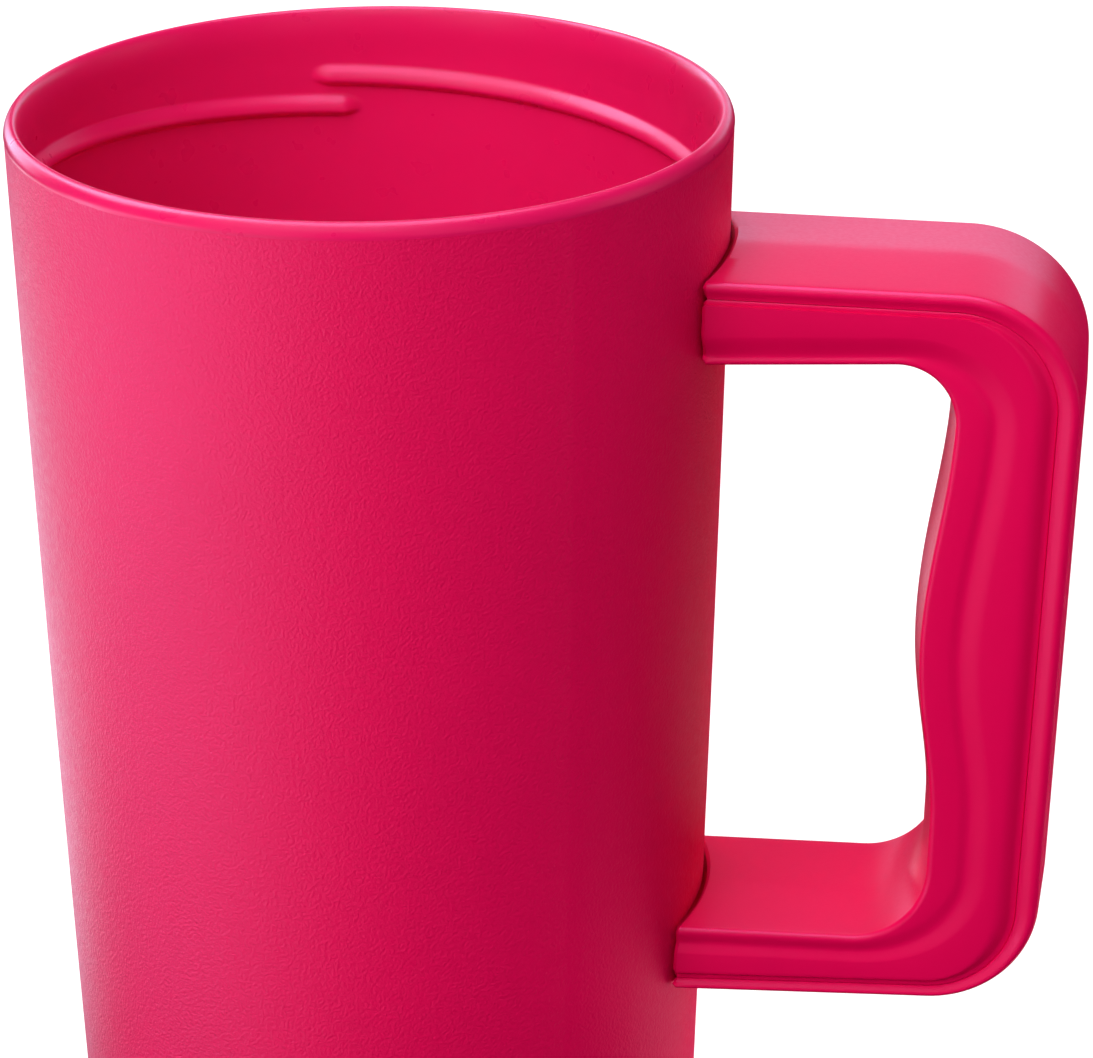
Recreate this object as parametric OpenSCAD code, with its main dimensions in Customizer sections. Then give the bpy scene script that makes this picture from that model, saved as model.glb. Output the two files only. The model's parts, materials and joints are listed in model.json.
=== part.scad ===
// Double-walled steel tumbler with a two-part screwed-on handle, shown with its mouth open.
// Origin: centre of the foot's underside. +Z is up the tumbler's axis, +X points at the handle.

/* [Body] */
// Overall height, from the foot to the rim
height = 235; // [225:1:250]
// Outside diameter at the rim
rim_d = 100; // [98:0.5:104]
// Inward lean of the outer wall at the rim, in mm per mm
wall_lean = 0.0321; // [0.03:0.0005:0.035]
// Barrel of the outer wall, in mm per mm squared of depth below the rim
wall_barrel = 0.00004; // [0:0.00001:0.00005]
// Thickness of the steel sheet
sheet_t = 0.7; // [0.5:0.1:0.8]
// Distance from the outer face to the liner's inner face, low on the body
double_wall = 5; // [4:0.5:6]

/* [Mouth] */
// Inside diameter of the mouth, where a lid's seal sits
mouth_d = 95; // [94:0.5:95]
// Depth of the rolled lip
lip_drop = 2.4; // [1.8:0.1:3]
// Length of the straight wall below the lip
mouth_len = 5; // [4:0.5:5]

/* [Lid thread] */
// Number of thread starts
thread_starts = 4; // [2:1:4]
// Angle that each rolled bead covers
thread_sweep = 97; // [60:1:100]
// Drop of one bead over a full turn
thread_lead = 18; // [12:1:20]
// Depth of a bead's crest at its high end
thread_depth = 9.6; // [9.6:0.1:12]
// Height of a bead
bead_h = 3.4; // [2.4:0.1:3.6]
// How far a bead stands out of the wall
bead_out = 1.2; // [0.8:0.1:1.6]
// Angle of the first bead's high end, from +X
thread_start = 109; // [0:1:359]

/* [Base] */
// Height of the painted edge above the table
foot_gap = 0.8; // [0.5:0.1:1]
// Radius of the curl at the shell's lower edge
curl_r = 3; // [2:0.5:4]
// Diameter of the silicone pad
pad_d = 66; // [50:1:68]
// Height of the liner floor above the table, at its centre
floor_z = 15; // [14:0.5:20]

/* [Handle] */
// Width of the handle
handle_w = 31.4; // [28:0.1:32]
// Depth of the handle's top face below the rim, at the upper corner
arm_top = 18.3; // [16:0.1:20]
// Depth of the finger opening's upper edge at the body
gap_top = 30.1; // [29:0.1:31]
// Depth of the finger opening's lower edge
gap_bottom = 114.7; // [110:0.1:116]
// Depth of the handle's lowest face, at the lower corner
arm_bottom = 123.7; // [123:0.1:126]
// How much thicker each arm is at the body than at its corner, on the outer face
arm_draft = 1.1; // [0:0.1:1.5]
// Reach of the handle from the axis, at the height of its top face
reach = 99.7; // [98:0.1:104]
// Lean of the handle's outer face, in degrees
handle_lean = 3; // [2:0.1:4]
// Thickness of the clip-on cover on the upper arm and the column
cover_t = 3.4; // [3:0.1:3.6]
// Thickness of the cover under the lower arm
cover_low_t = 1.8; // [1.4:0.1:3]
// Radius of the upper outer corner
corner_top_r = 17.5; // [14:0.1:18]
// Radius of the lower outer corner
corner_low_r = 16; // [14:0.1:16.5]
// Height of the palm swell on the finger side
swell = 2.95; // [0:0.05:3.5]

/* [Fixings] */
// Thickness of the bracket sheet
bracket_t = 1.2; // [1:0.1:1.2]
// Nominal diameter of the handle screws
screw_d = 4; // [3:0.5:4]
// Distance of the handle screws from the axis
screw_x = 59; // [58:0.5:61]

/* [Hidden] */
$fn = 96;

PINK = [0.83, 0.02, 0.28];
STEEL = [0.72, 0.72, 0.73];
COPPER = [0.76, 0.42, 0.28];
BRASS = [0.78, 0.62, 0.3];

eps = 0.01;
lip_round = 0.8;
seam_z = height - lip_round - 0.1;
bore_end = lip_drop + mouth_len;
mouth_r = mouth_d / 2;
neck_len = 62;

cap_z = foot_gap + 1.6;
cap_r = 36.4;
adhesive_t = 0.3;
pressure_z = 6.5;
dimple_r = 5;
vent_r = 1;
getter_x = 17;
getter_r = 4;

side_wall = 2.4;
inner_wall = 2;
end_gap = 0.6;
boss_h = 3.4;
boss_r = 4.6;
insert_r = 2.9;
insert_h = 2.9;
washer_t = 0.5;
head_h = 1.4;
head_r = 3.8;
tongue_w = 14;
saddle_w = 22;
part_gap = 0.1;
snap_clear = 0.2;
tab_t = 1.6;
tab_l = 8;
tab_root = 0.6;
rib_t = 1.6;
liner_end = floor_z - 2.5;

// Outer radius of the body at height z
function body_r(z) =
    rim_d / 2 - wall_lean * (height - z) - wall_barrel * (height - z) * (height - z);
function smooth(t) = let (u = min(1, max(0, t))) u * u * (3 - 2 * u);
// Inner radius of the liner at height z: straight at the mouth, then easing to the full double wall
function liner_r(z) =
    let (
        depth = height - z,
        mouth_wall = body_r(height - bore_end) - mouth_r
    )
    depth <= bore_end ? mouth_r
        : body_r(z) - mouth_wall - (double_wall - mouth_wall) * smooth((depth - bore_end) / neck_len);

// n + 1 points on an ellipse's arc about c
function arc(c, rx, rz, a0, a1, n) =
    [for (i = [0:n]) let (a = a0 + (a1 - a0) * i / n) [c[0] + rx * cos(a), c[1] + rz * sin(a)]];
// Heights from z0 to z1 in even steps
function levels(z0, z1, n) = [for (i = [0:n]) z0 + (z1 - z0) * i / n];
function unit(v) = v / norm(v);
// The arc of radius r that rounds the corner at p, between its neighbours a and b
function fillet(a, p, b, r, n) =
    let (
        u = unit(a - p),
        v = unit(b - p),
        half = acos(u * v) / 2,
        c = p + unit(u + v) * r / sin(half),
        s = p + u * r / tan(half) - c,
        e = p + v * r / tan(half) - c,
        a0 = atan2(s[1], s[0]),
        turn = atan2(s[0] * e[1] - s[1] * e[0], s * e)
    )
    arc(c, r, r, a0, a0 + turn, n);
// A closed outline from corners [x, z, radius]
function rounded(corners) =
    let (n = len(corners), flat = [for (k = corners) [k[0], k[1]]])
    [for (i = [0:n - 1]) each corners[i][2] > 0
        ? fillet(flat[(i + n - 1) % n], flat[i], flat[(i + 1) % n], corners[i][2], 10)
        : [flat[i]]];

module ring(points) {
    rotate_extrude(convexity = 6) polygon(points);
}

// The body's outer form grown by a gap, used to cut and to shape what fits against it
module body_form(gap, z0, z1) {
    zs = levels(z0, z1, 6);
    ring(concat([[0, z0]], [for (z = zs) [body_r(z) + gap, z]], [[0, z1]]));
}

module outer_shell() {
    curl_z = foot_gap + curl_r;
    cx = body_r(curl_z) - curl_r;
    outer = levels(seam_z, curl_z, 16);
    inner = levels(curl_z, seam_z, 16);
    color(PINK) ring(concat(
        [for (z = outer) [body_r(z), z]],
        arc([cx, curl_z], curl_r, curl_r, -10, -90, 8),
        [[cap_r, foot_gap], [cap_r, foot_gap + sheet_t]],
        arc([cx, curl_z], curl_r - sheet_t, curl_r - sheet_t, -90, -10, 8),
        [for (z = inner) [body_r(z) - sheet_t, z]]
    ));
}

// One rolled bead: rings of a half-ellipse section that descend clockwise seen from above
module bead(start) {
    steps = 20;
    fade = 4;
    arc_n = 6;
    function section(i) =
        let (
            a = thread_sweep * i / steps,
            phi = start - a,
            end = smooth(min(a, thread_sweep - a) / fade),
            z = height - thread_depth - thread_lead * a / 360,
            half = bead_h / 2 * (0.45 + 0.55 * end),
            out = bead_out * (0.06 + 0.94 * end),
            r = liner_r(z),
            back = r + sheet_t / 2
        )
        concat(
            [for (k = [0:arc_n]) let (b = -90 + 180 * k / arc_n, q = r + 0.05 - (out + 0.05) * cos(b))
                [q * cos(phi), q * sin(phi), z + half * sin(b)]],
            [[back * cos(phi), back * sin(phi), z + half], [back * cos(phi), back * sin(phi), z - half]]
        );
    m = arc_n + 3;
    points = [for (i = [0:steps]) each section(i)];
    sides = [for (i = [0:steps - 1], k = [0:m - 1]) let (a = i * m + k, b = i * m + (k + 1) % m)
        each [[a, b, b + m], [a, b + m, a + m]]];
    first = [[for (k = [m - 1:-1:0]) k]];
    last = [[for (k = [0:m - 1]) steps * m + k]];
    polyhedron(points, concat(sides, first, last), convexity = 4);
}

module inner_liner() {
    down = levels(height - bore_end, liner_end, 18);
    up = levels(liner_end, height - bore_end, 18);
    color(PINK) {
        ring(concat(
            [[rim_d / 2 - sheet_t, seam_z], [body_r(seam_z), seam_z]],
            arc([rim_d / 2 - lip_round, height - lip_round], lip_round, lip_round, 0, 90, 6),
            arc([rim_d / 2 - lip_round, height - lip_drop],
                rim_d / 2 - lip_round - mouth_r, lip_drop, 99, 180, 8),
            [for (z = down) [liner_r(z), z]],
            [for (z = up) [liner_r(z) + sheet_t, z]],
            [[mouth_r + sheet_t, height - lip_drop - lip_round]]
        ));
        for (k = [0:thread_starts - 1]) bead(thread_start + k * 360 / thread_starts);
    }
}

// Shallow dome pressed downwards at its rim, welded inside the liner's lower edge
module liner_floor() {
    dome = 2;
    edge = liner_r(floor_z - dome) - 0.02;
    color(PINK) ring(concat(
        [[0, floor_z - sheet_t], [0, floor_z]],
        [for (i = [1:8]) [edge * i / 8, floor_z - dome * smooth(i / 8) * 0.5]],
        [[edge, floor_z - dome]],
        [[edge - sheet_t, floor_z - dome]],
        [for (i = [7:-1:1]) [edge * i / 8, floor_z - sheet_t - dome * smooth(i / 8) * 0.5]]
    ));
}

module copper_foil() {
    foil_t = 0.15;
    near = 0.05;
    zs = levels(26, height - 38, 14);
    back = levels(height - 38, 26, 14);
    color(COPPER) ring(concat(
        [for (z = zs) [liner_r(z) + sheet_t + near, z]],
        [for (z = back) [liner_r(z) + sheet_t + near + foil_t, z]]
    ));
}

// Pressure bottom: a flanged pan inside the shell, with a vented dimple at its centre
module vacuum_base() {
    flange = 4;
    edge = body_r(pressure_z) - sheet_t - 0.08;
    color(STEEL) ring([
        [vent_r, pressure_z + 1], [dimple_r - 1, pressure_z + 1], [dimple_r, pressure_z],
        [edge - 4, pressure_z], [edge, pressure_z + 2], [edge, pressure_z + 2 + flange],
        [edge - sheet_t, pressure_z + 2 + flange], [edge - sheet_t, pressure_z + 2 + 0.5],
        [edge - 4.3, pressure_z + sheet_t], [dimple_r + 0.3, pressure_z + sheet_t],
        [dimple_r - 0.7, pressure_z + 1 + sheet_t], [vent_r, pressure_z + 1 + sheet_t]
    ]);
}

module seal_bead() {
    color(STEEL) ring([
        [0, pressure_z + 0.1], [2, pressure_z + 0.25], [3, pressure_z + 1 - eps],
        [vent_r - 0.05, pressure_z + 1 - eps], [vent_r - 0.05, pressure_z + 1 + sheet_t],
        [0, pressure_z + 1.2 + sheet_t]
    ]);
}

module getter() {
    color([0.35, 0.34, 0.33]) translate([getter_x, 0, pressure_z + sheet_t + 0.4])
        cylinder(r = getter_r, h = 2.2);
}

// Spot-welded strap with a cup that grips the pellet by its side
module getter_holder() {
    strap_t = 0.4;
    color(STEEL) translate([getter_x, 0, pressure_z + sheet_t]) {
        difference() {
            union() {
                cylinder(r = getter_r + strap_t + 0.05, h = 2);
                translate([-getter_r - 5, -2, 0]) cube([2 * getter_r + 10, 4, strap_t]);
            }
            translate([0, 0, strap_t]) cylinder(r = getter_r + 0.05, h = 3);
        }
    }
}

module base_cap() {
    color(PINK) difference() {
        translate([0, 0, foot_gap]) cylinder(r = cap_r - 0.02, h = cap_z - foot_gap + sheet_t);
        translate([0, 0, foot_gap - 1]) cylinder(r = cap_r - 1.4, h = cap_z - foot_gap + 1);
    }
}

module pad_adhesive() {
    color([0.85, 0.85, 0.8]) translate([0, 0, cap_z - adhesive_t]) difference() {
        cylinder(r = pad_d / 2 - 2, h = adhesive_t);
        translate([0, 0, -1]) cylinder(r = 14, h = 2);
    }
}

module base_pad() {
    top = cap_z - adhesive_t;
    r = pad_d / 2;
    color(PINK) ring([[0, 0], [r - 0.6, 0], [r, 0.6], [r, top], [0, top]]);
}

// Bracket: a saddle that follows the shell, with a flat tongue that carries the screw hole
module bracket(saddle_low, saddle_top, tongue_low) {
    color(STEEL) {
        intersection() {
            difference() {
                body_form(bracket_t, saddle_low - 4, saddle_top + 4);
                body_form(0, saddle_low - 5, saddle_top + 5);
            }
            translate([30, -saddle_w / 2, saddle_low]) cube([30, saddle_w, saddle_top - saddle_low]);
        }
        difference() {
            union() {
                translate([body_r(tongue_low) - 1.2, -tongue_w / 2, tongue_low])
                    cube([screw_x - body_r(tongue_low) + 1.2, tongue_w, bracket_t]);
                translate([screw_x, 0, tongue_low]) cylinder(r = tongue_w / 2, h = bracket_t);
            }
            translate([screw_x, 0, tongue_low - 1]) cylinder(r = screw_d / 2 + 0.2, h = bracket_t + 2);
            body_form(0, tongue_low - 4, tongue_low + 4);
        }
    }
}

// Faces of the grip at the screws, where the stack of insert, tongue, washer and head starts
upper_face = height - gap_top + 0.25;
lower_face = height - gap_bottom;
cover_under_top = height - arm_top - cover_t;
cover_over_low = height - arm_bottom + cover_low_t;

module upper_bracket() {
    bracket(height - gap_top + inner_wall + 0.4, cover_under_top - 0.3, upper_face + boss_h);
}

module lower_bracket() {
    bracket(cover_over_low + 0.3, lower_face - inner_wall - 0.2, lower_face - boss_h - bracket_t);
}

// Knurled insert: a brass tube with a groove round its middle, built from its open end down
module insert() {
    color(BRASS) difference() {
        cylinder(r = insert_r, h = insert_h - eps);
        translate([0, 0, -1]) cylinder(r = screw_d / 2, h = insert_h + 2);
        translate([0, 0, insert_h / 2 - 0.3]) difference() {
            cylinder(r = insert_r + 1, h = 0.6);
            translate([0, 0, -1]) cylinder(r = insert_r - 0.4, h = 3);
        }
    }
}

module washer() {
    color(STEEL) difference() {
        cylinder(r = 4, h = washer_t);
        translate([0, 0, -1]) cylinder(r = screw_d / 2 + 0.15, h = 3);
    }
}

// Low-head screw standing on z = 0, head up, with a cross recess
module screw() {
    shank = washer_t + bracket_t + insert_h - 0.4;
    color(STEEL) difference() {
        union() {
            cylinder(r = head_r, h = head_h);
            translate([0, 0, -shank]) cylinder(r = screw_d / 2 - 0.05, h = shank + eps);
        }
        for (a = [0, 90]) rotate([0, 0, a]) translate([-2, -0.4, head_h - 0.8]) cube([4, 0.8, 1]);
    }
}

module upper_insert() { translate([screw_x, 0, upper_face + boss_h - insert_h]) insert(); }
module lower_insert() {
    translate([screw_x, 0, lower_face - boss_h + insert_h]) rotate([180, 0, 0]) insert();
}
module upper_washer() { translate([screw_x, 0, upper_face + boss_h + bracket_t]) washer(); }
module lower_washer() {
    translate([screw_x, 0, lower_face - boss_h - bracket_t]) rotate([180, 0, 0]) washer();
}
module upper_screw() { translate([screw_x, 0, upper_face + boss_h + bracket_t + washer_t]) screw(); }
module lower_screw() {
    translate([screw_x, 0, lower_face - boss_h - bracket_t - washer_t]) rotate([180, 0, 0]) screw();
}

// Handle outlines, drawn in X and Z. An inset moves each face inwards by that much, and the face under
// the lower arm by the difference in the cover's thickness less.
root_x = 40;
function outer_x(z, inset) =
    reach - (height - arm_top - z) * tan(handle_lean) - inset / cos(handle_lean);
function inner_x(z) = let (d = height - z) 82.7 - 0.041 * d
    - swell * (abs(d - swell_mid) < swell_len(d) ? pow(cos(90 * (d - swell_mid) / swell_len(d)), 2) : 0);
swell_mid = 70.5;
function swell_len(d) = d < swell_mid ? 34 : 27;
function outer_side(inset) =
    let (
        top = height - arm_top - inset,
        low = height - arm_bottom + (inset > 0 ? inset - cover_t + cover_low_t : 0)
    )
    [[root_x, top + arm_draft, 0], [outer_x(top, inset), top, corner_top_r - inset],
     [outer_x(low, inset), low, corner_low_r - inset], [root_x, low - arm_draft, 0]];
// The finger side, pushed into the handle by wall
function finger_side(wall) =
    let (low = height - gap_bottom - wall, top = height - gap_top + wall)
    concat(
        [[root_x, low, 0], [inner_x(low) + wall, low, 12 + wall]],
        [for (d = [96:-3:42]) [inner_x(height - d) + wall, height - d, 0]],
        [[inner_x(top) + wall, top + 1, 9 + wall], [root_x, top - 0.7, 0]]
    );

module slab(corners, width) {
    translate([0, width / 2, 0]) rotate([90, 0, 0]) linear_extrude(width, convexity = 6)
        polygon(rounded(corners));
}

// The body's form with its gap, which the handle's ends are cut to
module handle_end_cut() {
    body_form(end_gap, height - arm_bottom - 2, height - arm_top + 2);
}

module grip_outline(width) {
    slab(concat(outer_side(cover_t + part_gap), finger_side(0)), width);
}

// Inner half of the handle: an open channel with cross ribs and two bosses for the inserts
module handle_grip() {
    channel_w = handle_w - 2 * side_wall;
    color(PINK) difference() {
        union() {
            difference() {
                grip_outline(handle_w);
                slab(concat(outer_side(cover_t - 1), finger_side(inner_wall)), channel_w);
            }
            intersection() {
                grip_outline(channel_w + 1);
                for (d = [50, 71, 92]) translate([70, -handle_w / 2, height - d - rib_t / 2])
                    cube([outer_x(height - d, cover_t + 4) - 70, handle_w, rib_t]);
            }
            translate([screw_x, 0, upper_face + 0.5]) cylinder(r = boss_r, h = boss_h - 0.5);
            translate([screw_x, 0, lower_face - boss_h]) cylinder(r = boss_r, h = boss_h - 0.5);
        }
        for (z = [upper_face + boss_h - insert_h, lower_face - boss_h - 1])
            translate([screw_x, 0, z]) cylinder(r = insert_r + 0.03, h = insert_h + 1);
        handle_end_cut();
    }
}

// Outer band of the handle, with snap tabs that reach into the channel
module handle_cover() {
    tab_y = handle_w / 2 - side_wall - snap_clear;
    color(PINK) difference() {
        union() {
            slab(concat(outer_side(0), [for (k = [3:-1:0]) outer_side(cover_t)[k]]), handle_w);
            for (side = [-1, 1]) translate([0, side * (tab_y - tab_t / 2) - tab_t / 2, 0]) {
                for (d = [60, 82]) translate([outer_x(height - d, cover_t) - 4, 0, height - d - tab_l / 2])
                    cube([4 + tab_root, tab_t, tab_l]);
                translate([70, 0, cover_under_top - 3]) cube([tab_l, tab_t, 3 + tab_root]);
                translate([66, 0, cover_over_low - tab_root]) cube([tab_l, tab_t, 2.6 + tab_root]);
            }
        }
        handle_end_cut();
    }
}

outer_shell();
inner_liner();
liner_floor();
copper_foil();
vacuum_base();
seal_bead();
getter();
getter_holder();
base_cap();
pad_adhesive();
base_pad();
upper_bracket();
lower_bracket();
upper_insert();
lower_insert();
upper_washer();
lower_washer();
upper_screw();
lower_screw();
handle_grip();
handle_cover();
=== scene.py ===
"""Insulated tumbler with an open mouth and a two-part side handle: its looks, built round the CAD frame."""

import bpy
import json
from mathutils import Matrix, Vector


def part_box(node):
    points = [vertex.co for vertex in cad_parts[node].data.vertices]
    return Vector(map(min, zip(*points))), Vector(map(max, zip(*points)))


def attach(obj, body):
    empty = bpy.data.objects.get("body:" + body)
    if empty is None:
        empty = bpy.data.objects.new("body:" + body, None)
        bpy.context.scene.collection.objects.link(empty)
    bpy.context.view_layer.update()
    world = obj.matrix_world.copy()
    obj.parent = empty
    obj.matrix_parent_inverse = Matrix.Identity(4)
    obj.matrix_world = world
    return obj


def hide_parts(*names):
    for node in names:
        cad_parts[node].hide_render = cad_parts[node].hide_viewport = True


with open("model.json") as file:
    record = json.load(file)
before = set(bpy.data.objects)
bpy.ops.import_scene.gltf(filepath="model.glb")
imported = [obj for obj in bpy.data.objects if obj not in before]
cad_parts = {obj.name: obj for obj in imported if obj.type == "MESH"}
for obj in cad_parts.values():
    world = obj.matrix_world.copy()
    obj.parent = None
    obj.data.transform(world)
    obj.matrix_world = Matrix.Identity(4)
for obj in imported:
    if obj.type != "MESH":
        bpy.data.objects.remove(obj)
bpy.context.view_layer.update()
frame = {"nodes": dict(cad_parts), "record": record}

import json
import math

import bmesh
import bpy
from mathutils import Matrix, Vector

MM = 0.001

# ---------------------------------------------------------------- sizes, in millimetres, from the frame
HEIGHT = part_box("inner_liner")[1].z / MM
RIM_R = -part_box("inner_liner")[0].x / MM
HALF_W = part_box("handle_grip")[1].y / MM
PAD_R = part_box("base_pad")[1].x / MM
PAD_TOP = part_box("base_pad")[1].z / MM
CAP_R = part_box("base_cap")[1].x / MM
CAP_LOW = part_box("base_cap")[0].z / MM
CAP_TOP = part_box("base_cap")[1].z / MM
LINER_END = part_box("inner_liner")[0].z / MM
FLOOR_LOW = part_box("liner_floor")[0].z / MM
FLOOR_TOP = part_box("liner_floor")[1].z / MM

# the steel walls
WALL_LEAN = 0.0321
WALL_BARREL = 0.00004
SHEET = 0.7
DOUBLE_WALL = 5.0
CURL_R = 3.0

# the lip: a rounded shoulder outside, down to the seam with the outer wall, and a longer roll inside
LIP_SIDE = 2.2
SEAM_Z = HEIGHT - LIP_SIDE
LIP_SHOULDER = 1.3
LIP_ROLL = 4.4
LIP_BACK = 3.2

# the mouth: the CAD's straight bore starts at LIP_DROP, and the roll above runs a little way into it
LIP_DROP = 2.4
MOUTH = frame["record"]["mounts"][1]["dims"]
MOUTH_R = MOUTH["r_mm"]
BORE_END = LIP_DROP + MOUTH["length_mm"]
NECK_LEN = 62.0

# the lid thread, rolled inwards
STARTS = 4
SWEEP = 97.0
LEAD = 18.0
THREAD_DEPTH = 9.6
THREAD_START = 109.0
BEAD_HALF = 1.75
BEAD_OUT = 1.2
BEAD_CREST = 0.3
BEAD_OVERRUN = 1
BEAD_FADE = 3.5
BEAD_NARROW = 0.6
THREAD_LOW = 17.5

# the handle
COVER_T = 3.4
COVER_LOW_T = 1.8
LEAN = math.tan(math.radians(3))
ARM_TOP = 18.3
ARM_BOTTOM = 123.7
ARM_DRAFT = 1.1
GAP_TOP = 30.1
GAP_BOTTOM = 114.7
GAP_ROOT_DROP = 0.7
GAP_CORNER_RISE = 1.0
CORNER_TOP = 17.5
# WITHIN keeps the outer face inside the CAD's box
WITHIN = 0.03
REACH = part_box("handle_cover")[1].x / MM + CORNER_TOP * (LEAN + math.hypot(1, LEAN) - 1) - WITHIN
CORNER_LOW = 16.0
INNER_TOP = 7.8
INNER_LOW = 10.8
INNER_X = 83.1
INNER_LEAN = 0.041
SWELL = 2.95
SWELL_MID = 70.5
SWELL_ABOVE = 34.0
SWELL_BELOW = 27.0
SIDE_WALL = 2.4
INNER_WALL = 2.0
END_GAP = 0.6
ROOT_X = 40.0


def smooth(t):
    t = min(1.0, max(0.0, t))
    return t * t * (3 - 2 * t)


def lerp(a, b, t):
    return a + (b - a) * t


def body_r(z):
    """Radius of the outer wall at height z."""
    d = HEIGHT - z
    return RIM_R - WALL_LEAN * d - WALL_BARREL * d * d


def liner_r(z):
    """Radius of the liner's inner face at height z."""
    d = HEIGHT - z
    if d <= BORE_END:
        return MOUTH_R
    mouth_wall = body_r(HEIGHT - BORE_END) - MOUTH_R
    return body_r(z) - mouth_wall - (DOUBLE_WALL - mouth_wall) * smooth((d - BORE_END) / NECK_LEN)


def arc(cx, cz, rx, rz, a0, a1, n):
    """Points along an elliptical arc from angle a0 to a1, in degrees."""
    out = []
    for i in range(n + 1):
        a = math.radians(lerp(a0, a1, i / n))
        out.append((cx + rx * math.cos(a), cz + rz * math.sin(a)))
    return out


def steps(z0, z1, n):
    return [lerp(z0, z1, i / n) for i in range(n + 1)]


# ---------------------------------------------------------------- mesh makers
def make_object(name, points, faces, sharp=40.0):
    """A smooth-shaded mesh object from points in millimetres."""
    mesh = bpy.data.meshes.new(name)
    mesh.from_pydata([(x * MM, y * MM, z * MM) for x, y, z in points], [], faces)
    shape = bmesh.new()
    shape.from_mesh(mesh)
    bmesh.ops.recalc_face_normals(shape, faces=shape.faces)
    shape.to_mesh(mesh)
    shape.free()
    mesh.shade_smooth()
    mesh.set_sharp_from_angle(angle=math.radians(sharp))
    obj = bpy.data.objects.new(name, mesh)
    bpy.context.scene.collection.objects.link(obj)
    return obj


def revolve(name, outline, segments=256, radial=None, sharp=40.0):
    """Turns a closed outline of (r, z) round Z. Points on the axis join.

    radial(angle, r, z) may change a point's radius.
    """
    points, index, faces = [], [], []
    for r, z in outline:
        if r < 1e-6:
            index.append([len(points)] * segments)
            points.append((0, 0, z))
            continue
        row = []
        for j in range(segments):
            a = 2 * math.pi * j / segments
            q = radial(math.degrees(a), r, z) if radial else r
            row.append(len(points))
            points.append((q * math.cos(a), q * math.sin(a), z))
        index.append(row)
    for i in range(len(outline)):
        a, b = index[i], index[(i + 1) % len(outline)]
        for j in range(segments):
            k = (j + 1) % segments
            face = [a[j], a[k], b[k], b[j]]
            face = [v for n, v in enumerate(face) if v not in face[:n]]
            if len(face) > 2:
                faces.append(face)
    return make_object(name, points, faces, sharp)


def loft(name, rings, islands=(), sharp=38.0):
    """Joins closed rings of points into a solid with flat ends, and adds islands to the same mesh."""
    m = len(rings[0])
    points = [p for ring in rings for p in ring]
    faces = [[k for k in range(m)][::-1], [(len(rings) - 1) * m + k for k in range(m)]]
    for i in range(len(rings) - 1):
        for k in range(m):
            a, b = i * m + k, i * m + (k + 1) % m
            faces.append([a, b, b + m, a + m])
    for more_points, more_faces in islands:
        base = len(points)
        points += more_points
        faces += [[base + v for v in f] for f in more_faces]
    return make_object(name, points, faces, sharp)


def block(x0, x1, y0, y1, z0, z1):
    """A closed box as an island."""
    points = [(x, y, z) for x in (x0, x1) for y in (y0, y1) for z in (z0, z1)]
    return points, [[0, 1, 3, 2], [4, 6, 7, 5], [0, 4, 5, 1], [2, 3, 7, 6], [0, 2, 6, 4], [1, 5, 7, 3]]


def tube(cx, r_out, r_in, z0, z1, n=48):
    """A closed tube about a vertical axis as an island."""
    ring = [(r_out, z0), (r_out, z1), (r_in, z1), (r_in, z0)]
    points = [
        (cx + r * math.cos(2 * math.pi * j / n), r * math.sin(2 * math.pi * j / n), z)
        for r, z in ring for j in range(n)
    ]
    faces = [
        [i * n + j, i * n + (j + 1) % n, (i + 1) % 4 * n + (j + 1) % n, (i + 1) % 4 * n + j]
        for i in range(4) for j in range(n)
    ]
    return points, faces


# ---------------------------------------------------------------- handle rails
# A station is (segment, u): A and E are the straight arms, B and D the corners, C the column.
def stations():
    counts = {"A": 26, "B": 26, "C": 64, "D": 26, "E": 26}
    out = []
    for seg in "ABCDE":
        n = counts[seg]
        for i in range(n + (seg == "E")):
            out.append((seg, i / n))
    return out


def swell_at(d):
    """How far the palm swell stands out at depth d below the rim."""
    half_length = SWELL_ABOVE if d < SWELL_MID else SWELL_BELOW
    t = (d - SWELL_MID) / half_length
    return SWELL * math.cos(math.pi / 2 * t) ** 2 if abs(t) < 1 else 0.0


def inner_base(z):
    """The column's finger side at height z, before the swell."""
    return INNER_X - INNER_LEAN * (HEIGHT - z)


def outer_base(z, inset):
    """The column's leaning outer side at height z."""
    top = HEIGHT - ARM_TOP
    return REACH - (top - z) * LEAN - inset * math.hypot(1, LEAN)


def corner(a, p, b, r, t):
    """Point at share t along the arc of radius r that rounds corner p between its neighbours a and b."""
    a, p, b = Vector(a), Vector(p), Vector(b)
    u, v = (a - p).normalized(), (b - p).normalized()
    half = math.acos(u.dot(v)) / 2
    c = p + (u + v).normalized() * r / math.sin(half)
    s, e = p + u * r / math.tan(half) - c, p + v * r / math.tan(half) - c
    turn = math.atan2(s.x * e.y - s.y * e.x, s.dot(e))
    a0 = math.atan2(s.y, s.x) + turn * t
    return c + Vector((math.cos(a0), math.sin(a0))) * r


def end_x(y, z):
    """Where the handle stops, clear of the body."""
    return math.sqrt((body_r(z) + END_GAP) ** 2 - y * y)


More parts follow.
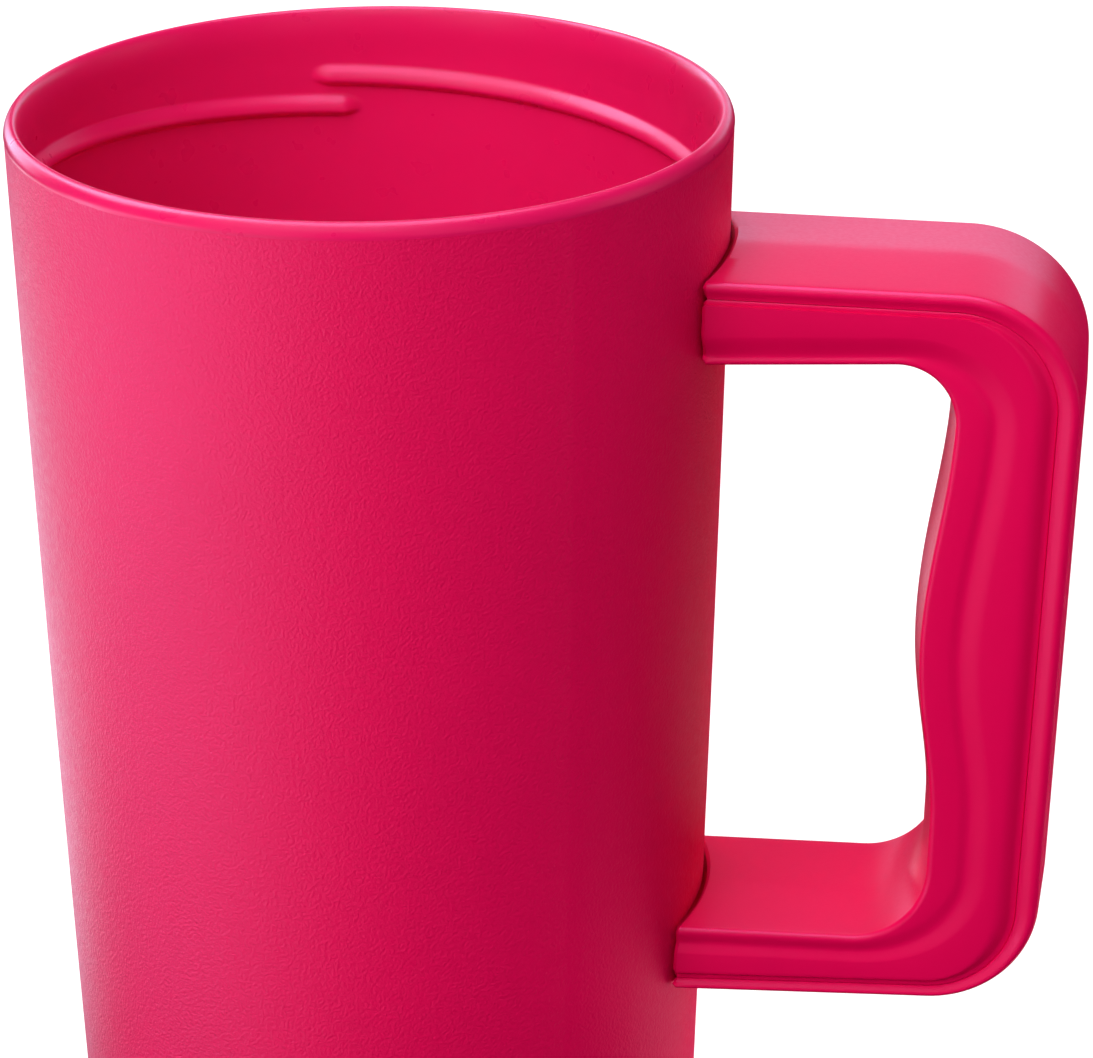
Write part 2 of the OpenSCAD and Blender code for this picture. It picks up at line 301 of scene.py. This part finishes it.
def along(seg, u, y, top_root, top_p, low_p, low_root, r_top, r_low, side_x):
    """A rail through two rounded corners, from the body along the upper arm, down the column and back."""
    if seg in "AB":
        arc_at = corner(top_root, top_p, low_p, r_top, u if seg == "B" else 0)
        if seg == "B":
            return arc_at
        slope = (top_p[1] - top_root[1]) / (top_p[0] - top_root[0])
        x0 = end_x(y, top_root[1])
        return Vector((x0, top_root[1] + slope * (x0 - top_root[0]))).lerp(arc_at, u)
    if seg in "DE":
        arc_at = corner(top_p, low_p, low_root, r_low, u if seg == "D" else 1)
        if seg == "D":
            return arc_at
        slope = (low_p[1] - low_root[1]) / (low_p[0] - low_root[0])
        x0 = end_x(y, low_root[1])
        return arc_at.lerp(Vector((x0, low_root[1] + slope * (x0 - low_root[0]))), u)
    z = lerp(corner(top_root, top_p, low_p, r_top, 1).y, corner(top_p, low_p, low_root, r_low, 0).y, u)
    return Vector((side_x(z), z))


def outer_rail(seg, u, y, inset):
    """A rail set in from the outer face. The inset shrinks under the lower arm, where the cover is thin."""
    low_inset = inset * COVER_LOW_T / COVER_T if inset < COVER_T else inset - COVER_T + COVER_LOW_T
    top, low = HEIGHT - ARM_TOP - inset, HEIGHT - ARM_BOTTOM + low_inset
    return along(
        seg, u, y, (ROOT_X, top + ARM_DRAFT), (outer_base(top, inset), top),
        (outer_base(low, inset), low), (ROOT_X, low - ARM_DRAFT), CORNER_TOP - inset, CORNER_LOW - inset,
        lambda z: outer_base(z, inset),
    )


def inner_rail(seg, u, y, wall):
    """A rail set in from the finger side by the wall's thickness."""
    top, low = HEIGHT - GAP_TOP + wall, HEIGHT - GAP_BOTTOM - wall
    return along(
        seg, u, y, (ROOT_X, top - GAP_ROOT_DROP), (inner_base(top) + wall, top + GAP_CORNER_RISE),
        (inner_base(low) + wall, low), (ROOT_X, low), INNER_TOP + wall, INNER_LOW + wall,
        lambda z: inner_base(z) - swell_at(HEIGHT - z) + wall,
    )


def share(seg, u, arm_up, column, arm_low):
    """A size that differs between the upper arm, the column and the lower arm, easing round the corners."""
    if seg == "A":
        return arm_up
    if seg == "B":
        return lerp(arm_up, column, smooth(u))
    if seg == "C":
        return column
    if seg == "D":
        return lerp(column, arm_low, smooth(u))
    return arm_low


def mirrored(half):
    """Closes a half section, from the middle of one face round to the middle of the other."""
    full = list(half)
    for kind, off, y in reversed(half):
        if abs(y) > 1e-9:
            full.append((kind, off, -y))
    return full


def crease(y, width, drop):
    """Depth below the middle line of a face made of two nearly flat halves that meet in a soft crease."""
    soft = 1.0
    return drop * (math.hypot(y, soft) - soft) / (math.hypot(width, soft) - soft)


def grip_section(seg, u):
    """Half the grip's section: finger side, lip, valley, side panel, groove, then the channel inside."""
    w = HALF_W
    lap = COVER_T
    lip_y = w - share(seg, u, 0.7, 0.3, 0.12)
    lip_r = share(seg, u, 0.55, 0.9, 0.8)
    valley = share(seg, u, 1.4, 5.4, 2.6)
    panel = share(seg, u, 4.7, 8.6, 4.2)
    depth = share(seg, u, 0.95, 0.55, 0.5)
    bulge = share(seg, u, 0.0, 1.3, 0.0)
    drop = share(seg, u, 0.25, 0.0, 0.25)
    slope = share(seg, u, 4.1, 6.6, 2.9 + COVER_T - COVER_LOW_T)
    late = share(seg, u, 0.0, 0.8, 0.0)
    floor_out = lap + 0.95
    floor_y = w - share(seg, u, 0.4, 0.95, 0.45)
    half = []
    flat = lip_y - lip_r
    for i in range(13):
        y = flat * i / 12
        half.append(("in", crease(y, flat, drop) - drop * 0.4 - bulge * (1 - (y / flat) ** 2), y))
    edge = drop * 0.6
    for i in range(1, 9):
        a = math.pi / 2 * i / 8
        half.append(("in", edge + lip_r * (1 - math.cos(a)), flat + lip_r * math.sin(a)))
    fall = share(seg, u, edge + lip_r, valley - 1.5, edge + lip_r)
    for t in (0.02, 0.25, 0.5, 0.75, 1.0):
        half.append(("in", lerp(fall, valley, t), lerp(lip_y, w - depth, smooth(t))))
    for i in range(1, 9):
        t = i / 8
        half.append(("in", lerp(valley, panel, t), lerp(w - depth, w, (t + smooth(t)) / 2)))
    half.append(("out", slope + 0.4, w))
    for i in range(6):
        t = i / 5
        fallen = lerp(smooth(t), t * t, late)
        half.append(("out", lerp(slope, floor_out - 0.3, t), lerp(w, floor_y, fallen)))
    half += [
        ("out", lap + 0.3, floor_y), ("out", lap + 0.1, floor_y - 0.04),
        ("out", lap + 0.03, floor_y - 0.12), ("out", lap + 0.02, floor_y - 0.4),
        ("out", lap + 0.02, w - SIDE_WALL + 0.1), ("out", lap + 0.14, w - SIDE_WALL),
    ]
    for t in (0.33, 0.66, 1.0):
        half.append(("mix", t, w - SIDE_WALL))
    half += [("in", INNER_WALL, (w - SIDE_WALL) * t) for t in (0.66, 0.33, 0.0)]
    return mirrored(half)


def cover_section(seg, u):
    """Half the cover's section: outer face with a soft crease, rounded edge, tapered side, flat back."""
    w = HALF_W
    drop = share(seg, u, 0.9, 0.3, 0.35)
    edge_r = 1.0
    lap = COVER_T
    side_in = share(seg, u, 0.5, 0.6, 0.5)
    half = []
    flat = w - edge_r
    for i in range(15):
        y = flat * i / 14
        half.append(("out", crease(y, flat, drop), y))
    for i in range(1, 8):
        a = math.pi / 2 * i / 7
        half.append(("out", drop + edge_r * (1 - math.cos(a)), flat + edge_r * math.sin(a)))
    turn = drop + edge_r
    for t in (0.35, 0.7, 1.0):
        half.append(("out", lerp(turn, lap - 0.3, t), w - side_in * smooth(t)))
    half += [
        ("out", lap - 0.1, w - side_in - 0.03), ("out", lap - 0.02, w - side_in - 0.12),
        ("out", lap, w - SIDE_WALL), ("out", lap, 6.0), ("out", lap, 0.0),
    ]
    return mirrored(half)


def section_ring(seg, u, section):
    """Places a section at one station of the handle."""
    ring = []
    for kind, off, y in section:
        if kind == "out":
            p = outer_rail(seg, u, y, off)
        elif kind == "in":
            p = inner_rail(seg, u, y, off)
        else:
            p = outer_rail(seg, u, y, COVER_T + 0.14).lerp(inner_rail(seg, u, y, INNER_WALL), off)
        ring.append((p.x, y, p.y))
    return ring


def rounded_ends(rings, size=0.45):
    """Adds a slightly smaller ring at both ends, so that the moulded ends have a soft edge."""
    out = []
    for ring in (rings[0], rings[-1]):
        cz = (min(p[2] for p in ring) + max(p[2] for p in ring)) / 2
        half_z = (max(p[2] for p in ring) - min(p[2] for p in ring)) / 2
        small = []
        for x, y, z in ring:
            small.append((x, y * (1 - size / HALF_W), cz + (z - cz) * (1 - size / half_z)))
        out.append(small)
    pushed = [[(x + size, y, z) for x, y, z in ring] for ring in (rings[0], rings[-1])]
    return [out[0], pushed[0], *rings[2:-2], pushed[1], out[1]]


# ---------------------------------------------------------------- material helpers
class Nodes:
    """Short names for building one procedural material."""

    def __init__(self, name):
        self.mat = bpy.data.materials.new(name)
        self.mat.use_nodes = True
        self.tree = self.mat.node_tree
        self.shader = self.tree.nodes["Principled BSDF"] if "Principled BSDF" in self.tree.nodes else None
        if self.shader is None:
            self.tree.nodes.clear()
            self.shader = self.tree.nodes.new("ShaderNodeBsdfPrincipled")
            out = self.tree.nodes.new("ShaderNodeOutputMaterial")
            self.link(self.shader.outputs[0], out.inputs[0])
        self.coord = self.tree.nodes.new("ShaderNodeTexCoord")

    def link(self, a, b):
        self.tree.links.new(a, b)

    def set(self, **values):
        for key, value in values.items():
            self.shader.inputs[key.replace("_", " ")].default_value = value

    def noise(self, scale, detail=2.0, rough=0.5, stretch=None):
        node = self.tree.nodes.new("ShaderNodeTexNoise")
        node.inputs["Scale"].default_value = scale
        node.inputs["Detail"].default_value = detail
        node.inputs["Roughness"].default_value = rough
        self.link(self.place(stretch), node.inputs["Vector"])
        return node.outputs["Fac"]

    def pebble(self, scale, stretch=None):
        node = self.tree.nodes.new("ShaderNodeTexVoronoi")
        node.feature = "SMOOTH_F1"
        node.inputs["Scale"].default_value = scale
        node.inputs["Smoothness"].default_value = 0.6
        self.link(self.place(stretch), node.inputs["Vector"])
        return node.outputs["Distance"]

    def place(self, stretch):
        if stretch is None:
            return self.coord.outputs["Object"]
        node = self.tree.nodes.new("ShaderNodeMapping")
        node.inputs["Scale"].default_value = stretch
        self.link(self.coord.outputs["Object"], node.inputs["Vector"])
        return node.outputs[0]

    def span(self, value, low, high, frm=(0.3, 0.7)):
        node = self.tree.nodes.new("ShaderNodeMapRange")
        node.inputs["From Min"].default_value, node.inputs["From Max"].default_value = frm
        node.inputs["To Min"].default_value, node.inputs["To Max"].default_value = low, high
        self.link(value, node.inputs["Value"])
        return node.outputs["Result"]

    def ramp(self, value, first, second, frm=(0.3, 0.7)):
        node = self.tree.nodes.new("ShaderNodeValToRGB")
        node.color_ramp.elements[0].position, node.color_ramp.elements[1].position = frm
        node.color_ramp.elements[0].color = (*first, 1)
        node.color_ramp.elements[1].color = (*second, 1)
        self.link(value, node.inputs["Fac"])
        return node.outputs["Color"]

    def bump(self, height, distance, strength=1.0, under=None):
        node = self.tree.nodes.new("ShaderNodeBump")
        node.inputs["Distance"].default_value = distance
        node.inputs["Strength"].default_value = strength
        self.link(height, node.inputs["Height"])
        if under is not None:
            self.link(under, node.inputs["Normal"])
        return node.outputs["Normal"]


def tone(color, factor):
    return tuple(min(1.0, c * factor) for c in color)


PINK = (0.80, 0.0006, 0.083)
# The liner's pink is paler than PINK: painted sheen that stands in for light falling on the inner wall.
LINER_PINK_PAINTED_SHEEN = (0.80, 0.006, 0.11)
SHINE_TINT = (0.8, 0.5, 0.9, 1)
LINER_TINT = (0.9, 0.6, 0.75, 1)


def powder_coat():
    """Satin paint baked from powder: a fine pebble, with slow changes of tone and gloss."""
    n = Nodes("powder_coat")
    slow = n.noise(26, 3)
    n.link(n.ramp(slow, tone(PINK, 0.965), tone(PINK, 1.02)), n.shader.inputs["Base Color"])
    n.link(n.span(n.noise(900, 2), 0.44, 0.54), n.shader.inputs["Roughness"])
    pebble = n.bump(n.noise(2300, 2.5, 0.55), 0.00014, 1.0)
    fine = n.bump(n.pebble(3200), 0.00002, 0.35, under=pebble)
    n.link(fine, n.shader.inputs["Normal"])
    n.set(Specular_IOR_Level=0.5, Specular_Tint=SHINE_TINT)
    return n.mat


def liner_coat():
    """The coat's pink as a smooth gloss coat with a faint orange peel; its base colour is set a little
    paler as painted sheen for the light on the inner wall.
    """
    n = Nodes("liner_coat")
    slow = n.noise(30, 2)
    n.link(n.ramp(slow, tone(LINER_PINK_PAINTED_SHEEN, 0.97), tone(LINER_PINK_PAINTED_SHEEN, 1.02)), n.shader.inputs["Base Color"])
    n.link(n.span(n.noise(220, 2), 0.27, 0.34), n.shader.inputs["Roughness"])
    n.link(n.bump(n.noise(420, 2), 0.00003, 0.5), n.shader.inputs["Normal"])
    n.set(Specular_IOR_Level=0.5, Specular_Tint=LINER_TINT)
    return n.mat


def handle_plastic():
    """Satin moulded plastic with a very fine spark texture and slow flow variation."""
    n = Nodes("handle_plastic")
    flow = n.noise(45, 3, stretch=(1, 1, 0.4))
    n.link(n.ramp(flow, tone(PINK, 0.965), tone(PINK, 1.015)), n.shader.inputs["Base Color"])
    n.link(n.span(n.noise(1600, 2), 0.28, 0.35), n.shader.inputs["Roughness"])
    n.link(n.bump(n.noise(3200, 2), 0.000015, 0.5), n.shader.inputs["Normal"])
    n.set(Specular_IOR_Level=0.4, Specular_Tint=SHINE_TINT)
    return n.mat


def silicone():
    """Matt rubbery foot with a dusty bloom."""
    n = Nodes("silicone")
    n.link(n.ramp(n.noise(120, 4), (0.5, 0.006, 0.07), (0.62, 0.02, 0.1)), n.shader.inputs["Base Color"])
    n.link(n.span(n.noise(300, 3), 0.62, 0.78), n.shader.inputs["Roughness"])
    n.link(n.bump(n.noise(2600, 2), 0.00002, 0.4), n.shader.inputs["Normal"])
    n.set(Specular_IOR_Level=0.35)
    return n.mat


def metal(name, light, dark, rough, grain, stretch, bump=0.00001):
    """Bare metal with a drawn or turned grain."""
    n = Nodes(name)
    lines = n.noise(grain, 3, 0.6, stretch)
    n.link(n.ramp(lines, dark, light), n.shader.inputs["Base Color"])
    n.link(n.span(lines, rough[0], rough[1]), n.shader.inputs["Roughness"])
    n.link(n.bump(lines, bump, 0.5), n.shader.inputs["Normal"])
    n.set(Metallic=1.0)
    return n.mat


def dull(name, light, dark, rough, scale, bump):
    """A grainy unpolished material."""
    n = Nodes(name)
    grain = n.noise(scale, 4, 0.6)
    n.link(n.ramp(grain, dark, light), n.shader.inputs["Base Color"])
    n.link(n.span(grain, rough[0], rough[1]), n.shader.inputs["Roughness"])
    n.link(n.bump(grain, bump, 0.7), n.shader.inputs["Normal"])
    return n.mat


# ---------------------------------------------------------------- pieces
def build_shell():
    """The outer wall, curled under at the base."""
    curl_z = CAP_LOW + CURL_R
    cx = body_r(curl_z) - CURL_R
    outline = [(body_r(z), z) for z in steps(SEAM_Z, curl_z, 90)]
    outline += arc(cx, curl_z, CURL_R, CURL_R, -6, -90, 14)
    gap, edge = 0.03, 0.1
    outline += [(CAP_R + edge, CAP_LOW), (CAP_R + gap, CAP_LOW + edge), (CAP_R + gap, CAP_LOW + SHEET)]
    outline += arc(cx, curl_z, CURL_R - SHEET, CURL_R - SHEET, -90, -6, 8)
    outline += [(body_r(z) - SHEET, z) for z in steps(curl_z, SEAM_Z, 40)]
    return revolve("shell_skin", outline)


def thread_rise(angle, z):
    """How far the rolled thread pushes the liner's wall inwards at this place."""
    rise = 0.0
    depth = HEIGHT - z
    for k in range(STARTS):
        turned = (THREAD_START + 360 / STARTS * k - angle) % 360
        if turned > SWEEP + BEAD_OVERRUN:
            turned -= 360
        if turned < -BEAD_OVERRUN:
            continue
        end = smooth((min(turned, SWEEP - turned) + BEAD_OVERRUN) / BEAD_FADE)
        off = (depth - THREAD_DEPTH - LEAD * turned / 360) / (BEAD_HALF * lerp(BEAD_NARROW, 1, end))
        if abs(off) < 1:
            if off < BEAD_CREST:
                slant = (BEAD_CREST - off) / (BEAD_CREST + 1)
            else:
                slant = (off - BEAD_CREST) / (1 - BEAD_CREST)
            rise = max(rise, BEAD_OUT * end * (1 - slant * slant) ** 1.5)
    return rise


def build_liner():
    """The inner wall from the lip to the cup's floor, with the thread pushed in near the top."""
    top = LIP_ROLL + 0.2
    crest = RIM_R - LIP_SHOULDER
    inner = arc(crest, SEAM_Z, LIP_SHOULDER, HEIGHT - SEAM_Z, 0, 90, 10)[1:]
    inner += arc(crest, HEIGHT - LIP_ROLL, crest - MOUTH_R, LIP_ROLL, 95, 180, 18)
    inner += [(MOUTH_R, HEIGHT - d) for d in steps(LIP_ROLL, top, 2)[1:]]
    inner += [(liner_r(HEIGHT - d), HEIGHT - d) for d in steps(top, THREAD_LOW, 74)[1:]]
    inner += [(liner_r(z), z) for z in steps(HEIGHT - THREAD_LOW, LINER_END, 70)[1:]]
    outer = [(liner_r(z) + SHEET, z) for z in steps(LINER_END, HEIGHT - BORE_END, 50)]
    outer += [(MOUTH_R + SHEET, HEIGHT - LIP_BACK), (RIM_R - SHEET, SEAM_Z)]
    top_z, low_z = HEIGHT - top, HEIGHT - THREAD_LOW

    def radial(angle, r, z):
        on_wall = low_z <= z <= top_z and r < liner_r(z) + SHEET / 2
        return r - thread_rise(angle, z) if on_wall else r

    return revolve("liner_skin", [(body_r(SEAM_Z), SEAM_Z), *inner, *outer], 540, radial, sharp=55)


def build_floor():
    """Cup floor: a shallow dome with a pressed ring, meeting the wall in a small fillet."""
    dome = FLOOR_TOP - FLOOR_LOW
    edge = liner_r(FLOOR_LOW) - 0.02
    fall = 1.0
    ring_drop, ring_at, ring_width = 0.35, 0.62, 0.035
    fillet_rise, fillet_from, fillet_width = 0.78, 0.93, 0.07

    def top_z(out):
        """Height of the upper face at a share of the way from the middle to the edge."""
        ring = ring_drop * math.exp(-((out - ring_at) / ring_width) ** 2)
        fillet = fillet_rise * smooth((out - fillet_from) / fillet_width) ** 2
        return FLOOR_TOP - fall * smooth(out) - ring + fillet

    shares = steps(0, 1, 60)
    upper = [(edge * s, top_z(s)) for s in shares]
    lower = [(edge, FLOOR_LOW), (edge - SHEET, FLOOR_LOW)]
    lower += [(edge * s, FLOOR_TOP - dome / 2 * smooth(s) - SHEET) for s in steps(0.95, 0, 20)]
    return revolve("cup_floor_skin", upper + lower, 192)


def build_cap():
    """Pressed bottom cap: outer flange, then the recess that holds the pad."""
    low, top, roof = CAP_LOW, CAP_TOP, PAD_TOP + 0.3
    recess_r = CAP_R - 1.4
    chamfer, outer_edge, inner_edge = 0.5, 0.25, 0.3
    outline = [(0, top), (CAP_R - chamfer, top), (CAP_R, top - chamfer), (CAP_R, low + outer_edge)]
    outline += arc(CAP_R - outer_edge, low + outer_edge, outer_edge, outer_edge, 0, -90, 4)[1:]
    outline += arc(recess_r + inner_edge, low + inner_edge, inner_edge, inner_edge, -90, -180, 4)
    outline += [(recess_r, PAD_TOP + 0.05), (recess_r - inner_edge, roof), (0, roof)]
    return revolve("cap_skin", outline, 192)


def build_pad():
    """Silicone foot: rounded edge and shallow concentric grip grooves."""
    top, chamfer, edge = PAD_TOP, 0.2, 0.6
    outline = [(0, top), (PAD_R - chamfer, top), (PAD_R, top - chamfer), (PAD_R, edge)]
    outline += arc(PAD_R - edge, edge, edge, edge, 0, -90, 8)[1:]
    half, flank, shoulder, depth = 0.5, 0.35, 0.12, 0.35
    for r in (30.0, 27.5, 25.0, 22.5, 12.0):
        outline += [(r + half, 0), (r + flank, shoulder), (r, depth), (r - flank, shoulder), (r - half, 0)]
    outline += [(0, 0)]
    return revolve("foot_pad_skin", outline, 192)


def build_grip():
    """The hollow grip with its three ribs and two screw bosses."""
    rings = [section_ring(seg, u, grip_section(seg, u)) for seg, u in stations()]
    boss_r, rib_half, sunk = 4.6, 0.8, 0.3
    rib_y = HALF_W - SIDE_WALL + sunk
    islands = []
    for d in (50.0, 71.0, 92.0):
        z = HEIGHT - d
        x0 = inner_base(z) - swell_at(d) + INNER_WALL - 0.4
        islands.append(block(x0, outer_base(z, COVER_T + 4), -rib_y, rib_y, z - rib_half, z + rib_half))
    upper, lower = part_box("upper_insert"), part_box("lower_insert")
    cx = (upper[0].x + upper[1].x) / 2 / MM
    hole = (upper[1].x - upper[0].x) / 2 / MM + 0.03
    islands.append(tube(cx, boss_r, hole, upper[0].z / MM - sunk, upper[1].z / MM))
    islands.append(tube(cx, boss_r, hole, lower[0].z / MM, lower[1].z / MM + sunk))
    return loft("grip_skin", rounded_ends(rings), islands)


def build_cover():
    """The outer band with four tabs on each side that reach into the grip."""
    rings = [section_ring(seg, u, cover_section(seg, u)) for seg, u in stations()]
    tab_y = HALF_W - SIDE_WALL - 0.2
    tab_t, tab_half, sunk = 1.6, 4.0, 0.6
    upper_x, lower_x = 74.0, 70.0
    islands = []
    for side in (-1, 1):
        y0, y1 = sorted((side * tab_y, side * (tab_y - tab_t)))
        for d in (60.0, 82.0):
            x, z = outer_base(HEIGHT - d, COVER_T), HEIGHT - d
            islands.append(block(x - 4, x + 0.4, y0, y1, z - tab_half, z + tab_half))
        top, low = HEIGHT - ARM_TOP - COVER_T, HEIGHT - ARM_BOTTOM + COVER_LOW_T
        islands.append(block(upper_x - tab_half, upper_x + tab_half, y0, y1, top - 3, top + sunk))
        islands.append(block(lower_x - tab_half, lower_x + tab_half, y0, y1, low - sunk, low + 2.6))
    return loft("cover_skin", rounded_ends(rings), islands)


def place(obj, node, material):
    """Puts a finished piece in the CAD node's stead."""
    obj.data.materials.append(material)
    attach(obj, "root")
    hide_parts(node)


def finish_cad(node, material, bevel=0.12):
    """Keeps a CAD node, gives it its material and softens its edges."""
    obj = frame["nodes"][node]
    obj.data.materials.clear()
    obj.data.materials.append(material)
    if bevel:
        soften = obj.modifiers.new("soft_edges", "BEVEL")
        soften.width = bevel * MM
        soften.segments = 2
        soften.limit_method = "ANGLE"
        soften.angle_limit = math.radians(40)


# ---------------------------------------------------------------- stage
GLOW = {"fill": (1, 1, 1), "shine": (0.5, 0.75, 1), "glare": (0.62, 0.77, 0.88)}
AIM = Vector((0.02, 0, 0.15))


def lamp(name, place_at, facing, size, power, glow):
    """An area light. A fill lights a surface's own colour, and a shine or a glare its reflection."""
    data = bpy.data.lights.new(name, "AREA")
    data.shape = "RECTANGLE"
    data.size, data.size_y = size
    data.energy = power
    data.color = GLOW[glow]
    obj = bpy.data.objects.new(name, data)
    obj.location = place_at
    obj.rotation_euler = facing.to_track_quat("-Z", "Y").to_euler()
    obj.visible_camera = False
    obj.visible_diffuse = glow == "fill"
    obj.visible_glossy = glow != "fill"
    bpy.context.scene.collection.objects.link(obj)


def softbox(name, azimuth, elevation, distance, size, power, glow):
    """A softbox aimed at the middle of the part. Azimuth 0 is the front and 90 the right."""
    a, e = math.radians(azimuth), math.radians(elevation)
    away = Vector((math.sin(a) * math.cos(e), -math.cos(a) * math.cos(e), math.sin(e)))
    lamp(name, AIM + away * distance, -away, size, power, glow)


def floor_card(name, x, y, size, power, glow):
    """A card that lies on the floor and shines up, as a lit table top does."""
    lamp(name, Vector((x, y, 0.003)), Vector((0, 0, 1)), (size, size), power, glow)


def build_stage():
    """A plain pale floor just under the foot, and the soft lights."""
    mesh = bpy.data.meshes.new("studio_floor")
    half, low = 6.0, -0.0003
    corners = [(-half, -half, low), (half, -half, low), (half, half, low), (-half, half, low)]
    mesh.from_pydata(corners, [], [[0, 1, 2, 3]])
    floor = bpy.data.objects.new("studio_floor", mesh)
    bpy.context.scene.collection.objects.link(floor)
    floor.visible_diffuse = False
    floor.visible_glossy = False
    n = Nodes("studio_floor")
    n.link(n.ramp(n.noise(8, 2), (0.2, 0.2, 0.2), (0.22, 0.22, 0.22)), n.shader.inputs["Base Color"])
    n.set(Roughness=0.9, Emission_Color=(1, 1, 1, 1), Emission_Strength=0.97)
    mesh.materials.append(n.mat)
    softbox("front_left_fill", -30, 15, 1.2, (0.6, 0.8), 3.4, "fill")
    softbox("high_left_fill", -45, 50, 1.2, (0.8, 0.8), 6.6, "fill")
    softbox("high_front_fill", 0, 45, 1.3, (0.8, 0.8), 6.3, "fill")
    softbox("front_right_fill", 30, 10, 1.3, (0.6, 0.8), 1.4, "fill")
    softbox("right_fill", 95, 5, 1.2, (0.6, 0.8), 4.2, "fill")
    softbox("overhead_fill", 0, 88, 1.3, (0.8, 0.8), 3.8, "fill")
    softbox("back_fill", 180, 50, 1.3, (0.9, 0.6), 6.4, "fill")
    softbox("back_left_fill", -152, 8, 1.3, (0.6, 0.8), 3.4, "fill")
    softbox("back_right_fill", 158, 8, 1.3, (0.6, 0.8), 3.4, "fill")
    floor_card("left_card", -0.45, -0.45, 0.7, 3.5, "fill")
    floor_card("right_card", 0.28, 0.16, 0.3, 1.4, "fill")
    softbox("high_left_shine", -100, 50, 1.2, (0.8, 0.8), 22, "shine")
    softbox("overhead_shine", 0, 86, 1.2, (1.0, 1.0), 22, "shine")
    softbox("left_shine", -130, 15, 1.2, (0.6, 0.8), 8, "shine")
    softbox("back_shine", 180, 6, 1.2, (0.9, 0.25), 0.6, "shine")
    behind_arm, to_arm = Vector((0.05, 0.15, 0.266)), Vector((0.16, -0.95, -0.3))
    lamp("arm_top_shine", behind_arm, to_arm, (0.25, 0.05), 0.064, "shine")
    floor_card("left_card_shine", -0.8, -0.35, 0.8, 15.5, "shine")
    floor_card("rear_card_shine", -0.35, 0.3, 0.4, 1.8, "glare")
    world = bpy.data.worlds.new("studio")
    world.use_nodes = True
    world.node_tree.nodes["Background"].inputs["Color"].default_value = (1, 1, 1, 1)
    world.node_tree.nodes["Background"].inputs["Strength"].default_value = 0.0
    bpy.context.scene.world = world
    bpy.context.scene.view_settings.view_transform = "Standard"


def build_camera():
    """A long lens, above and in front, turned a little to the left."""
    data = bpy.data.cameras.new("camera")
    data.sensor_width = 36.0
    data.lens = 169.91
    data.clip_start = 0.01
    data.dof.use_dof = False
    camera = bpy.data.objects.new("camera", data)
    yaw, pitch, roll = (math.radians(a) for a in (-7.7379, 22.1453, 0.6107))
    ahead = Vector((math.sin(yaw) * math.cos(pitch), math.cos(yaw) * math.cos(pitch), -math.sin(pitch)))
    right = Vector((math.cos(yaw), -math.sin(yaw), 0))
    down = ahead.cross(right)
    right, down = (
        right * math.cos(roll) + down * math.sin(roll),
        down * math.cos(roll) - right * math.sin(roll),
    )
    turn = Matrix((right, -down, -ahead)).transposed().to_4x4()
    eye = Vector((0.114199, -0.665316, HEIGHT * MM + 0.212048))
    camera.matrix_world = Matrix.Translation(eye) @ turn
    bpy.context.scene.collection.objects.link(camera)
    bpy.context.scene.camera = camera


build_camera()
build_stage()

coat, gloss, plastic = powder_coat(), liner_coat(), handle_plastic()
steel = metal("steel", (0.66, 0.66, 0.67), (0.55, 0.55, 0.56), (0.26, 0.4), 900, (1, 1, 0.08))
screw_steel = metal("screw_steel", (0.62, 0.62, 0.64), (0.5, 0.5, 0.52), (0.2, 0.32), 1500, (1, 1, 1))
copper = metal("copper", (0.9, 0.5, 0.36), (0.8, 0.4, 0.27), (0.18, 0.34), 260, (1, 1, 0.6), 0.00006)
brass = metal("brass", (0.83, 0.64, 0.3), (0.72, 0.53, 0.22), (0.2, 0.36), 1800, (1, 1, 0.1))
braze = dull("braze", (0.42, 0.4, 0.37), (0.25, 0.24, 0.22), (0.45, 0.7), 1200, 0.00005)
pellet = dull("getter_pellet", (0.16, 0.155, 0.15), (0.07, 0.07, 0.07), (0.7, 0.9), 3000, 0.00004)
film = dull("adhesive", (0.78, 0.77, 0.7), (0.68, 0.66, 0.58), (0.4, 0.6), 900, 0.00002)
foot = silicone()

place(build_shell(), "outer_shell", coat)
place(build_liner(), "inner_liner", gloss)
place(build_floor(), "liner_floor", gloss)
place(build_cap(), "base_cap", coat)
place(build_pad(), "base_pad", foot)
place(build_grip(), "handle_grip", plastic)
place(build_cover(), "handle_cover", plastic)

finish_cad("copper_foil", copper, 0)
finish_cad("vacuum_base", steel)
finish_cad("seal_bead", braze, 0)
finish_cad("getter", pellet, 0.2)
finish_cad("getter_holder", steel, 0.05)
finish_cad("pad_adhesive", film, 0)
for level in ("upper", "lower"):
    finish_cad(f"{level}_bracket", steel, 0.15)
    finish_cad(f"{level}_insert", brass, 0.1)
    finish_cad(f"{level}_washer", screw_steel, 0.08)
    finish_cad(f"{level}_screw", screw_steel, 0.12)
